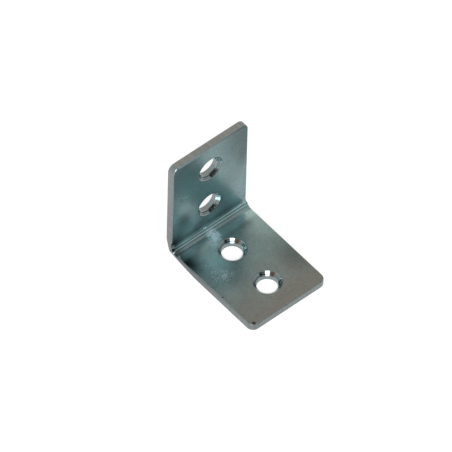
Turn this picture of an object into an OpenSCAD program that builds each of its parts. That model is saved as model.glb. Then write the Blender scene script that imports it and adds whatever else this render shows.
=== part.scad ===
/* [Sheet] */
// Width of the bracket across both legs
bracket_width = 22; // [18:0.5:30]
// Length of the leg that lies flat, from the outside of the heel
flat_leg = 30; // [29:0.5:40]
// Length of the leg that stands up, from the outside of the heel
upright_leg = 30.6; // [29:0.2:40]
// Thickness of the steel sheet
thickness = 2; // [1.8:0.1:2.4]

/* [Edges] */
// Radius of the rounded corners at both free ends, seen on the face
corner_radius = 1.8; // [1:0.1:4]
// Roll of the stamped edge on the inner faces
inner_roll = 0.4; // [0.2:0.05:0.5]
// Roll of the stamped edge on the outer faces
outer_roll = 0.3; // [0.2:0.05:0.5]

/* [Bend] */
// Radius of the inside of the bend
inside_radius = 2; // [1.6:0.1:2.2]
// Radius of the groove that the press tool's nose leaves along the inside of the bend
nose_radius = 0.5; // [0.45:0.05:0.7]
// Depth of that groove
nose_depth = 0.15; // [0.1:0.01:0.18]
// How far each side edge swells out at the inside of the bend
swell = 0.12; // [0.06:0.02:0.2]
// Length over which the inside of the bend flares out at each end
flare = 0.8; // [0.5:0.1:1.5]
// How far the side edges of the flat leg are drawn in at the outside of the heel
flat_draw = 1.2; // [0.6:0.05:1.3]
// Distance from the outside of the heel over which they are drawn in
flat_draw_length = 16; // [10:0.5:18]
// How far the side edges of the upright leg are drawn in at the outside of the heel
upright_draw = 1.2; // [0.6:0.05:1.3]
// Distance from the outside of the heel over which they are drawn in
upright_draw_length = 8; // [6:0.5:12]

/* [Screw holes] */
// Diameter of the straight part of each screw hole
hole_diameter = 5; // [4:0.1:5.2]
// Diameter of the countersink where its cone would meet the inner face
sink_diameter = 6.7; // [6.4:0.1:7.6]
// Radius of the rounded lip round each countersink
sink_lip = 0.2; // [0.1:0.05:0.5]
// Distance from the outside of the heel to the nearer hole of the flat leg
flat_heel_hole = 10.1; // [9.5:0.1:11]
// Distance from the outside of the heel to the nearer hole of the upright leg
upright_heel_hole = 10.3; // [9.5:0.1:11]
// Distance from the free end of each leg to the hole nearer to it
end_hole = 7.7; // [6.5:0.1:8.5]

/* [Hidden] */
$fn = 64;
half_width = bracket_width / 2;
// How far a cutting solid runs past the face it cuts
pass = 1;
// The turn of the heel and of every rounded corner
quarter = 90;
// Number of sides with which a very large circle still counts as round
fine = 400;
// Depth of the countersink's cone, whose sides slope at half a right angle
sink_depth = (sink_diameter - hole_diameter) / 2;
// Outside radius of the heel
heel_radius = thickness + inside_radius;
// Distance of the centre of the nose's groove from both outer faces
nose_centre = heel_radius - (inside_radius + nose_depth - nose_radius) * cos(quarter / 2);
// Radius of each swelling, and the distance of its middle from both outer faces
swell_radius = 3;
swell_place = 2.1;
// Slope of the flare at each end of the bend
flare_slope = 19;
// Slope of the drawn-in side edges across the thickness of the sheet
draw_slope = 32;

// Section of the sheet across its width, from the outer face at zero up to the inner face.
// side is half the width, and both long edges are rolled on both faces.
module sheet_section(side) {
    translate([-side, outer_roll])
        square([2 * side, thickness - outer_roll - inner_roll]);
    translate([outer_roll - side, 0])
        square([2 * (side - outer_roll), thickness / 2]);
    translate([inner_roll - side, thickness / 2])
        square([2 * (side - inner_roll), thickness / 2]);
    for (s = [-1, 1]) {
        translate([s * (side - outer_roll), outer_roll])
            circle(r = outer_roll);
        translate([s * (side - inner_roll), thickness - inner_roll])
            circle(r = inner_roll);
    }
}

// The half of that section on one side of the middle
module half_section(side) {
    intersection() {
        sheet_section(side);
        translate([0, -pass])
            square([side + pass, thickness + 2 * pass]);
    }
}

// One screw hole, cut down from the inner face. The cone ends in a rounded lip.
module screw_hole() {
    lip_foot = sink_lip * (1 - cos(quarter / 2));
    lip_out = sink_lip * tan(quarter / 4);
    translate([0, 0, -pass])
        cylinder(d = hole_diameter, h = thickness + 2 * pass);
    translate([0, 0, thickness - sink_depth])
        cylinder(d1 = hole_diameter, d2 = sink_diameter, h = sink_depth);
    rotate_extrude()
        difference() {
            translate([0, thickness - lip_foot])
                square([sink_diameter / 2 + lip_out, lip_foot + pass]);
            translate([sink_diameter / 2 + lip_out, thickness - sink_lip])
                circle(r = sink_lip);
        }
}

// A leg lying on its outer face, from the end of the heel's curve to its free end along +Y
module leg(length, heel_hole) {
    // Distance at which the rounded corners begin
    tangent = length - corner_radius;
    difference() {
        union() {
            translate([0, tangent, 0])
                rotate([quarter, 0, 0])
                    linear_extrude(height = tangent - heel_radius)
                        sheet_section(half_width);
            for (s = [-1, 1])
                translate([s * (half_width - corner_radius), tangent, 0])
                    rotate([0, 0, s > 0 ? 0 : quarter])
                        rotate_extrude(angle = quarter)
                            half_section(corner_radius);
            translate([corner_radius - half_width, tangent, 0])
                rotate([quarter, 0, quarter])
                    linear_extrude(height = bracket_width - 2 * corner_radius)
                        half_section(corner_radius);
        }
        for (place = [heel_hole, length - end_hole])
            translate([0, place, 0])
                screw_hole();
    }
}

// Section along the middle of the sheet, through its bend and a short way into both legs
module bend_section() {
    for (turned = [0, 1])
        mirror([turned, -turned])
            translate([heel_radius, 0])
                square([pass, thickness]);
    translate([heel_radius, heel_radius])
        intersection() {
            rotate(2 * quarter)
                square([heel_radius, heel_radius]);
            difference() {
                circle(r = heel_radius);
                circle(r = inside_radius);
            }
        }
}

// The bend of the sheet with its rolled side edges. side is half its width.
module bend(side) {
    translate([0, heel_radius, heel_radius])
        rotate([0, quarter, 0])
            rotate([0, 0, -quarter])
                rotate_extrude(angle = quarter)
                    translate([heel_radius, 0])
                        rotate(quarter)
                            sheet_section(side);
}

// The swelling of one side edge at the inside of the bend
module swelling(side) {
    intersection() {
        translate([side * (half_width + swell - swell_radius), swell_place, swell_place])
            sphere(r = swell_radius);
        bend(half_width + swell);
    }
}

// What is cut away where the inside of the bend flares out at one end
module end_flare(side) {
    translate([side * (half_width - flare - pass), heel_radius, heel_radius])
        rotate([0, side * quarter, 0])
            cylinder(
                r1 = inside_radius - pass * tan(flare_slope),
                r2 = inside_radius + (flare + pass) * tan(flare_slope),
                h = flare + 2 * pass
            );
}

// What is drawn in from both side edges of a leg lying on its outer face. The edge curves in
// towards the heel and leans in towards the outer face.
module drawn_edges(draw, length) {
    curve = pow(length / cos(draw_slope), 2) / (2 * draw);
    for (s = [0, 1])
        mirror([s, 0, 0])
            difference() {
                translate([half_width - draw, -pass, -pass])
                    cube([draw + pass, length + pass, thickness + 2 * pass]);
                translate([half_width - curve, length, 0])
                    rotate([0, draw_slope, 0])
                        cylinder(r = curve * cos(draw_slope), h = 2 * curve, center = true, $fn = fine);
            }
}

// The bracket with the outside of its heel at the origin and its flat leg along +Y
module folded_sheet() {
    difference() {
        union() {
            leg(flat_leg, flat_heel_hole);
            mirror([0, 1, -1])
                leg(upright_leg, upright_heel_hole);
            bend(half_width);
            rotate([quarter, 0, quarter])
                translate([0, 0, inner_roll - half_width])
                    linear_extrude(height = bracket_width - 2 * inner_roll)
                        bend_section();
            for (side = [-1, 1])
                swelling(side);
        }
        translate([-half_width - pass, nose_centre, nose_centre])
            rotate([0, quarter, 0])
                cylinder(r = nose_radius, h = bracket_width + 2 * pass);
        for (side = [-1, 1])
            end_flare(side);
        drawn_edges(flat_draw, flat_draw_length);
        mirror([0, 1, -1])
            drawn_edges(upright_draw, upright_draw_length);
    }
}

module angle_bracket() {
    color("lightsteelblue")
        translate([0, flat_leg / 2, 0])
            mirror([0, 1, 0])
                folded_sheet();
}

angle_bracket();
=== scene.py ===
import math

import bpy
from mathutils import Matrix, Vector

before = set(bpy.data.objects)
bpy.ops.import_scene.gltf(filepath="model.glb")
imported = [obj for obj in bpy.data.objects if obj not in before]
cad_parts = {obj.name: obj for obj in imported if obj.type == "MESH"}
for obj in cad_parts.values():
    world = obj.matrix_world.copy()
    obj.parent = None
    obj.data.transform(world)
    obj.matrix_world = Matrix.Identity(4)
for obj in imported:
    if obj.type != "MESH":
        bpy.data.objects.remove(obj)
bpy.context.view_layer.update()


# The bracket: one strip of cold-rolled steel, stamped out with its four countersunk screw
# holes, folded over a press tool into a right angle, then tumbled and zinc plated.
MM = 0.001

# Its sizes in millimetres. A place on the sheet is told by its distance across from the
# middle and its distance along the leg from the outside of the heel.
HEEL = 15
FLAT_LEG = 30
UPRIGHT_LEG = 30.6
CORNER_REACH = 2
FLAT_HOLES = (10.1, 22.3)
UPRIGHT_HOLES = (10.3, 22.9)
SINK_RADIUS = 3.45


def linear(hex_colour):
    """An sRGB hex colour as linear red, green, blue and a full alpha."""
    parts = [int(hex_colour[i:i + 2], 16) / 255 for i in (1, 3, 5)]
    return [p / 12.92 if p <= 0.04045 else ((p + 0.055) / 1.055) ** 2.4 for p in parts] + [1]


def add(tree, kind, inputs=None, **settings):
    """One shader node, with its own settings, and with values, sockets or nodes on its inputs."""
    node = tree.nodes.new("ShaderNode" + kind)
    for name, value in settings.items():
        setattr(node, name, value)
    for name, value in (inputs or {}).items():
        if isinstance(value, bpy.types.Node):
            value = value.outputs[0]
        if isinstance(value, bpy.types.NodeSocket):
            tree.links.new(value, node.inputs[name])
        else:
            node.inputs[name].default_value = value
    return node


# Zinc plate with a clear blue passivation, on rolled steel: a metal with a soft, slightly
# cloudy reflection. Its tint drifts from blue-green at the bend to a warm grey at the
# front, the stamped edges are duller and more neutral, and the countersinks are bright.
zinc = bpy.data.materials.new("zinc_plate_clear_passivated")
zinc.use_nodes = True
tree = zinc.node_tree
tree.nodes.clear()
coords = add(tree, "TexCoord")
in_mm = add(tree, "VectorMath", {0: coords.outputs["Object"], "Scale": 1 / MM}, operation="SCALE")
place = add(tree, "SeparateXYZ", {0: in_mm})
across = add(tree, "Math", {0: place.outputs["X"]}, operation="ABSOLUTE")
from_heel = add(tree, "Math", {0: HEEL, 1: place.outputs["Y"]}, operation="SUBTRACT")
along = add(tree, "Math", {0: from_heel, 1: place.outputs["Z"]}, operation="MAXIMUM")
depth = add(tree, "Math", {0: from_heel, 1: place.outputs["Z"]}, operation="MINIMUM")
stands = add(tree, "Math", {0: place.outputs["Z"], 1: from_heel}, operation="GREATER_THAN")
lies = add(tree, "Math", {0: 1, 1: stands}, operation="SUBTRACT")

# The countersinks: how far each point lies from the middle of the nearer screw hole of its
# leg, and the strip of each cone on the side of the heel, where the cutter's rings are painted into
# dark bars that break up the soft box's reflection. Their finish ends softly at the lip, and just short
# of the outer faces.
SINK_BLUR = 0.05
OUTER_SKIN = 0.03
BARRED_MIDDLE = -2.9
BARRED_REACH = 0.8
spans = []
barred_strips = []
for flat_hole, upright_hole in zip(FLAT_HOLES, UPRIGHT_HOLES):
    middle = add(tree, "Math", {0: stands, 1: upright_hole - flat_hole, 2: flat_hole},
                 operation="MULTIPLY_ADD")
    away = add(tree, "Math", {0: along, 1: middle}, operation="SUBTRACT")
    barred_strips.append(add(tree, "Math", {0: away, 1: BARRED_MIDDLE, 2: BARRED_REACH},
                        operation="COMPARE"))
    to_hole = add(tree, "CombineXYZ", {0: across, 1: away})
    spans.append(add(tree, "VectorMath", {0: to_hole}, operation="LENGTH").outputs["Value"])
span = add(tree, "Math", {0: spans[0], 1: spans[1]}, operation="MINIMUM")
painted_bars = add(tree, "Math", {0: barred_strips[0], 1: barred_strips[1]}, operation="MAXIMUM")
around = add(tree, "MapRange", {
    "Value": span, "From Min": SINK_RADIUS + SINK_BLUR, "From Max": SINK_RADIUS - SINK_BLUR})
inside = add(tree, "Math", {0: depth, 1: OUTER_SKIN}, operation="GREATER_THAN")
sink = add(tree, "Math", {0: around, 1: inside}, operation="MULTIPLY")
off_sink = add(tree, "Math", {0: 1, 1: sink}, operation="SUBTRACT")

# The stamped edges: where the surface looks sideways, or along the leg near its free end
normal = add(tree, "SeparateXYZ", {0: coords.outputs["Normal"]})
looks = [add(tree, "Math", {0: normal.outputs[axis]}, operation="ABSOLUTE") for axis in "XYZ"]
faces = add(tree, "Mix", {0: stands, 2: looks[2], 3: looks[1]})
endways = add(tree, "Math", {0: 1, 1: faces}, operation="SUBTRACT")
end_starts = add(tree, "Math", {0: stands, 1: UPRIGHT_LEG - FLAT_LEG, 2: FLAT_LEG - CORNER_REACH},
                 operation="MULTIPLY_ADD")
near_end = add(tree, "Math", {0: along, 1: end_starts}, operation="GREATER_THAN")
at_end = add(tree, "Math", {0: endways, 1: near_end}, operation="MULTIPLY")
turned = add(tree, "Math", {0: at_end, 1: looks[0]}, operation="MAXIMUM")
on_edge = add(tree, "MapRange", {"Value": turned, "From Min": 0.4, "From Max": 0.7})
edge = add(tree, "Math", {0: on_edge, 1: off_sink}, operation="MULTIPLY")

# The tint of the faces: a slow drift along the flat leg, and clouds about 5 mm across
CLOUD = 5
DRIFT_STARTS = 15
DRIFT_ENDS = 28
cloud = add(tree, "TexNoise", {"Vector": in_mm, "Scale": 1 / CLOUD, "Detail": 3.0, "Roughness": 0.55})
drift = add(tree, "MapRange", {"Value": along, "From Min": DRIFT_STARTS, "From Max": DRIFT_ENDS})
warming = add(tree, "Math", {0: drift, 1: lies}, operation="MULTIPLY")
clouded = add(tree, "MapRange", {
    "Value": cloud, "From Min": 0.3, "From Max": 0.7, "To Min": -0.2, "To Max": 0.2})
warmth = add(tree, "Math", {0: warming, 1: clouded}, operation="ADD", use_clamp=True)
face_tint = add(tree, "ValToRGB", {0: warmth})
face_tint.color_ramp.elements[0].color = linear("#8AA4A6")
face_tint.color_ramp.elements[1].color = linear("#8E928F")

# Painted light and shade on the plate, along with some real unevenness of the plating: lighter and
# darker patches that stand in for reflections of the room and of the holes, painted shade in the
# corners by the bend, and painted highlight and shade lines along the bend. The sheet is thought of
# as unfolded, with the upright leg above the bend and the flat leg below it. Each patch: its middle
# across and along, how far it reaches across and along, and how much it lightens the plate. A patch
# as wide as STRIP lies right across the sheet, such as the painted highlight and shade lines at the
# bend.
STRIP = 60
LIGHT_AND_PLATING_PATCHES = (
    # Partly painted reflections and shade, partly real unevenness of the plating
    (10, 28, 10, 14, -0.5),
    (-6, 19, 14, 15, 0.4),
    (-8, 9, 4, 5, -0.4),
    (-7.2, 11.5, 3.5, 3.5, -0.35),
    (-7.5, 18.5, 4, 4.5, 0.05),
    (8.5, 9, 3, 6, 0.18),
    (9.5, 20, 3, 5, -0.2),
    (-2.2, 5.5, 3.5, 3.5, -0.6),
    (5, 5, 5, 4, -0.35),
    # Painted shade in the corner by the bend
    (-10.5, 4.5, 4, 4, -0.85),
    # Painted highlight lines and painted shade lines along the bend
    (0, 3.1, STRIP, 0.45, 0.35),
    (0, 2.6, STRIP, 0.25, -0.3),
    (0, -2.5, STRIP, 0.3, 0.35),
    (0, -2.9, STRIP, 0.25, -0.35),
    (0, -3.5, STRIP, 0.7, -0.2),
    (0, -4.2, STRIP, 0.65, 0.5),
    (0, -5.0, STRIP, 1.6, 0.6),
    # Painted reflections on the flat leg and painted shade by the bend, partly real unevenness of the
    # plating
    (4, -5, 4, 4, -0.15),
    (-11, -6, 4, 7, -0.95),
    (-6, -5.5, 3.5, 3, -0.25),
    (-0.5, -5.2, 2.6, 3.2, 0.3),
    (-5, -9.5, 5.5, 7, 1.1),
    (-8.5, -8.5, 3, 4, -0.3),
    (7.5, -6, 3, 3, -0.45),
    (10, -7, 5, 8, 0.5),
    (-8.5, -18.5, 4, 5, 0.25),
    (10, -20, 6, 8, -0.35),
)
leg_sign = add(tree, "MapRange", {"Value": stands, "To Min": -1})
unfolded_along = add(tree, "Math", {0: along, 1: leg_sign}, operation="MULTIPLY")
unfolded = add(tree, "CombineXYZ", {0: place.outputs["X"], 1: unfolded_along})


def patch(middle_across, middle_along, reach_across, reach_along, gain):
    """A soft round patch on the unfolded sheet, as strong as its gain in the middle."""
    scale = Vector((1 / reach_across, 1 / reach_along, 0))
    offset = Vector((-middle_across / reach_across, -middle_along / reach_along, 0))
    spot = add(tree, "VectorMath", {0: unfolded, 1: scale, 2: offset}, operation="MULTIPLY_ADD")
    distance = add(tree, "VectorMath", {0: spot}, operation="LENGTH").outputs["Value"]
    return add(tree, "MapRange", {"Value": distance, "To Min": gain, "To Max": 0},
               interpolation_type="SMOOTHSTEP")


painted_light_and_plating = 0
for numbers in LIGHT_AND_PLATING_PATCHES:
    painted_light_and_plating = add(tree, "Math", {0: painted_light_and_plating, 1: patch(*numbers)}, operation="ADD")

# The patches show on the inner faces and fade out within the thickness of the sheet
inner_side = add(tree, "MapRange", {"Value": depth, "From Min": 0.5, "From Max": 1.5})
uneven_with_painted_light = add(tree, "Math", {0: painted_light_and_plating, 1: inner_side, 2: 1}, operation="MULTIPLY_ADD")

# Fine mottling of about half a millimetre, as of crystals in the plate
MOTTLE = 0.556
mottle = add(tree, "TexNoise", {"Vector": in_mm, "Scale": 1 / MOTTLE, "Detail": 3.0, "Roughness": 0.7})
grain = add(tree, "MapRange", {
    "Value": mottle, "From Min": 0.25, "From Max": 0.75, "To Min": 0.85, "To Max": 1.15})
plated = add(tree, "Math", {0: uneven_with_painted_light, 1: grain}, operation="MULTIPLY")
face = add(tree, "VectorMath", {0: face_tint, "Scale": plated}, operation="SCALE")

# Two painted reflections on the flat leg, pale patches placed like the patches above, which stand in
# for the mirrored glints of the upright leg's countersinks. They are broken up by a crackle like the
# outlines of crystals, drawn at 0.6 mm so that they show, and by flakes of about 1 mm.
PAINTED_REFLECTIONS = ((-0.6, -4.5, 2.0, 2.7, 1.25), (-6.3, -14.6, 3.6, 3, 0.3))
CRYSTAL = 0.625
FLAKE = 1.11
crystal = add(tree, "TexVoronoi", {"Vector": in_mm, "Scale": 1 / CRYSTAL}, feature="DISTANCE_TO_EDGE")
outlined = add(tree, "MapRange", {
    "Value": crystal, "From Min": 0.03, "From Max": 0.22, "To Min": 1.7, "To Max": 0.5})
flake = add(tree, "TexNoise", {"Vector": in_mm, "Scale": 1 / FLAKE, "Detail": 1.0})
flaked = add(tree, "MapRange", {
    "Value": flake, "From Min": 0.35, "From Max": 0.68, "To Min": 0.35, "To Max": 1.0})
speckle = add(tree, "Math", {0: outlined, 1: flaked}, operation="MULTIPLY")
painted_reflection = 0
for numbers in PAINTED_REFLECTIONS:
    painted_reflection = add(tree, "Math", {0: patch(*numbers), 1: speckle, 2: painted_reflection},
                operation="MULTIPLY_ADD", use_clamp=True)
# Painted reflection: a pale blue-white where the mirrored glints fall
with_painted_reflection = add(tree, "Mix", {0: painted_reflection, 6: face, 7: linear("#CBE6F0")}, data_type="RGBA")

# The edges carry fine scores straight across the thickness, left by the stamping tool, and
# they are a little darker about 8 mm from the heel on the flat leg
SCORE = 0.455
SCORE_STRETCH = 0.08
EDGE_DARKER = (0, -8, STRIP, 24, -0.24)
thin = add(tree, "Math", {0: depth, 1: SCORE_STRETCH}, operation="MULTIPLY")
run = add(tree, "CombineXYZ", {0: place.outputs["X"], 1: unfolded_along, 2: thin})
score = add(tree, "TexNoise", {"Vector": run, "Scale": 1 / SCORE, "Detail": 2.0, "Roughness": 0.7})
scored = add(tree, "MapRange", {
    "Value": score, "From Min": 0.3, "From Max": 0.7, "To Min": 0.82, "To Max": 1.14})
scored_and_darker = add(tree, "Math", {0: scored, 1: patch(*EDGE_DARKER)}, operation="ADD")
stamped = add(tree, "VectorMath", {0: linear("#9DA5A5")[:3], "Scale": scored_and_darker}, operation="SCALE")
edged = add(tree, "Mix", {0: edge, 6: with_painted_reflection.outputs[2], 7: stamped}, data_type="RGBA")

# The countersinks keep the fine rings that the cutter left, drawn at three to the millimetre so
# that they show, and on the side of the heel the rings are painted into dark bars, which break up the
# soft box's reflection
RING = 0.333
ring = add(tree, "TexNoise", {"W": span, "Scale": 1 / RING, "Detail": 1.0}, noise_dimensions="1D")
rings = add(tree, "MapRange", {
    "Value": ring, "From Min": 0.3, "From Max": 0.7, "To Min": 0.6, "To Max": 1.25})
bars = add(tree, "MapRange", {
    "Value": ring, "From Min": 0.44, "From Max": 0.52, "To Min": 0.12, "To Max": 1.1})
ringed = add(tree, "Mix", {0: painted_bars, 2: rings, 3: bars})
cut = add(tree, "VectorMath", {0: linear("#93A0A1")[:3], "Scale": ringed}, operation="SCALE")
sunk = add(tree, "Mix", {0: sink, 6: edged.outputs[2], 7: cut}, data_type="RGBA")

# Small dark spots in the plate, and one of painted shade at the right end of the bend: each one's place
# in millimetres and its radius
SPOTS = (
    (-9.9, -14.3, 2, 0.6),
    (-10.5, -4.2, 2, 0.3),
    # Painted shade: the dark reflection at the flared right end of the bend
    (9.5, 12.7, 3.4, 0.35),
    (10.4, -14.2, 1.8, 0.35),
    (-9.3, 8.8, 2, 0.3),
)
SPOT_CORE = 0.4
spotted = 0
for x, y, z, radius in SPOTS:
    apart = add(tree, "VectorMath", {0: in_mm, 1: (x, y, z)}, operation="DISTANCE").outputs["Value"]
    dark = add(tree, "MapRange", {"Value": apart, "From Min": radius, "From Max": SPOT_CORE * radius})
    spotted = add(tree, "Math", {0: spotted, 1: dark}, operation="MAXIMUM")
tint = add(tree, "Mix", {0: spotted, 6: sunk.outputs[2], 7: linear("#45423A")}, data_type="RGBA")

# Its gloss, told as roughness: the rolled faces are soft, the bend burnished by the press tool,
# the painted reflections and the edges duller, one front corner scuffed, and the countersinks nearly
# polished
BURNISHED = 0.08
PAINTED_REFLECTION_DULL = 0.42
EDGE_DULL = 0.38
SCUFFED = 0.6
CUT = 0.12
SCUFF_MIDDLE = (-10.2, -14.6, 1.8)
SCUFF_RADIUS = 1.8
rolled = add(tree, "MapRange", {
    "Value": cloud, "From Min": 0.3, "From Max": 0.7, "To Min": 0.22, "To Max": 0.3})
past_bend = add(tree, "MapRange", {"Value": along, "From Min": 3.2, "From Max": 4.4})
smoothed = add(tree, "Mix", {0: past_bend, 2: BURNISHED, 3: rolled})
painted_reflection_gloss = add(tree, "Mix", {0: painted_reflection, 2: smoothed, 3: PAINTED_REFLECTION_DULL})
dulled = add(tree, "Mix", {0: edge, 2: painted_reflection_gloss, 3: EDGE_DULL})
scuff = add(tree, "VectorMath", {0: in_mm, 1: SCUFF_MIDDLE}, operation="DISTANCE").outputs["Value"]
scuffed = add(tree, "MapRange", {"Value": scuff, "From Min": SCUFF_RADIUS, "From Max": SCUFF_RADIUS / 2})
worn = add(tree, "Mix", {0: scuffed, 2: dulled, 3: SCUFFED})
gloss = add(tree, "Mix", {0: sink, 2: worn, 3: CUT})

# A faint orange peel of 0.8 mm left by the tumbling under the plate, and the cutter's rings.
# The painted reflections are made partly not metal, so that they show pale.
PEEL = 0.833
PEEL_HEIGHT = 0.004 * MM
RING_HEIGHT = 0.05 * MM
peel = add(tree, "TexNoise", {"Vector": in_mm, "Scale": 1 / PEEL, "Detail": 2.0})
peeled = add(tree, "Bump", {"Strength": off_sink, "Distance": PEEL_HEIGHT, "Height": peel})
bump = add(tree, "Bump", {"Strength": sink, "Distance": RING_HEIGHT, "Height": ring, "Normal": peeled})
metal = add(tree, "MapRange", {"Value": painted_reflection, "To Min": 1, "To Max": 0.55})
skin = add(tree, "BsdfPrincipled", {
    "Base Color": tint.outputs[2], "Metallic": metal, "Roughness": gloss, "Normal": bump})
add(tree, "OutputMaterial", {"Surface": skin})

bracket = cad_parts["angle_bracket"]
for slot_number in range(len(bracket.material_slots)):
    bracket.material_slots[slot_number].material = zinc


# The floor: a wide sheet of white photographic card, a hair below the bracket. It shows white
# to the camera, a little dimmer in reflections, and keeps the object's shadow.
FLOOR_SIDE = 6.0
FLOOR_GAP = 0.02 * MM
CAMERA_LIFT = 0.6
MIRROR_LIFT = 0.46
card = bpy.data.materials.new("white_photographic_card")
card.use_nodes = True
tree = card.node_tree
tree.nodes.clear()
path = add(tree, "LightPath")
in_mirror = path.outputs["Is Glossy Ray"]
pale = add(tree, "Mix", {0: in_mirror, 6: linear("#DCDCDC"), 7: linear("#A0A0A0")}, data_type="RGBA")
matt = add(tree, "BsdfDiffuse", {"Color": pale.outputs[2]})
mirrored = add(tree, "Math", {0: in_mirror, 1: MIRROR_LIFT}, operation="MULTIPLY")
lift = add(tree, "Math", {0: path.outputs["Is Camera Ray"], 1: CAMERA_LIFT, 2: mirrored},
           operation="MULTIPLY_ADD")
glow = add(tree, "Emission", {"Color": linear("#FFFFFF"), "Strength": lift})
both = add(tree, "AddShader", {0: matt, 1: glow})
add(tree, "OutputMaterial", {"Surface": both})
card_mesh = bpy.data.meshes.new("floor")
reach = FLOOR_SIDE / 2
corners = [(-reach, -reach), (reach, -reach), (reach, reach), (-reach, reach)]
card_mesh.from_pydata([(x, y, -FLOOR_GAP) for x, y in corners], [], [(0, 1, 2, 3)])
card_mesh.materials.append(card)
floor = bpy.data.objects.new("floor", card_mesh)
bpy.context.scene.collection.objects.link(floor)


# The light: a pale room that the plate mirrors, with a warm wall behind the bracket, dark
# things in front of it and a brown one at its left, and one soft box over the camera.
world = bpy.data.worlds.new("pale_room")
bpy.context.scene.world = world
world.use_nodes = True
tree = world.node_tree
tree.nodes.clear()
towards = add(tree, "TexCoord").outputs["Generated"]
shade = linear("#CDD0D2")
# Each shape in the room: its direction, the degrees where it starts and is full, its colour
ROOM = (
    ((0.63, 0.73, 0.55), 70, 25, "#D1C8C0"),
    ((-0.22, -0.93, 0.28), 30, 8, "#3A342E"),
    ((-0.80, -0.17, 0.57), 19, 12, "#9C7C62"),
    ((0.18, -0.83, 0.53), 12, 7, "#3A3C3C"),
)
for direction, outer, inner, colour in ROOM:
    toward = Vector(direction).normalized()
    facing = add(tree, "VectorMath", {0: towards, 1: toward}, operation="DOT_PRODUCT").outputs["Value"]
    within = add(tree, "MapRange", {
        "Value": facing,
        "From Min": math.cos(math.radians(outer)), "From Max": math.cos(math.radians(inner))})
    shade = add(tree, "Mix", {0: within, 6: shade, 7: linear(colour)}, data_type="RGBA").outputs[2]
room = add(tree, "Background", {"Color": shade, "Strength": 1.0})
add(tree, "OutputWorld", {"Surface": room})

BOX_TOWARDS = Vector((-0.49, -0.61, 0.63))
BOX_AWAY = 1.2
BOX_SIDE = 0.5
BOX_WATTS = 7
box_light = bpy.data.lights.new("soft_box", "AREA")
box_light.shape = "SQUARE"
box_light.size = BOX_SIDE
box_light.energy = BOX_WATTS
box = bpy.data.objects.new("soft_box", box_light)
box.location = BOX_TOWARDS.normalized() * BOX_AWAY
box.rotation_mode = "QUATERNION"
box.rotation_quaternion = BOX_TOWARDS.to_track_quat("Z", "Y")
bpy.context.scene.collection.objects.link(box)


# The camera: a long lens looking down on the left front corner of the bracket, at the place
# and the angle that a fit to the outline and the holes in the photo gave.
AZIMUTH = math.radians(-41.486)
ELEVATION = math.radians(51.382)
ROLL = math.radians(1.599)
DISTANCE = 2.64
AIM = Vector((4.134, 11.913, 0.340)) * MM
SENSOR = 36
LENS = 933.2
level = Vector((math.sin(AZIMUTH), -math.cos(AZIMUTH), 0))
back = level * math.cos(ELEVATION) + Vector((0, 0, math.sin(ELEVATION)))
rightward = (-back).cross(Vector((0, 0, 1))).normalized()
upward = rightward.cross(-back)
right = rightward * math.cos(ROLL) + upward * math.sin(ROLL)
up = upward * math.cos(ROLL) - rightward * math.sin(ROLL)
camera_data = bpy.data.cameras.new("camera")
camera_data.sensor_width = SENSOR
camera_data.lens = LENS
camera_data.clip_start = 0.01
camera_data.clip_end = 20
camera = bpy.data.objects.new("camera", camera_data)
rotation = Matrix((right, up, back)).transposed().to_4x4()
camera.matrix_world = Matrix.Translation(AIM + back * DISTANCE) @ rotation
bpy.context.scene.collection.objects.link(camera)
bpy.context.scene.camera = camera
bpy.context.scene.view_settings.view_transform = "Standard"
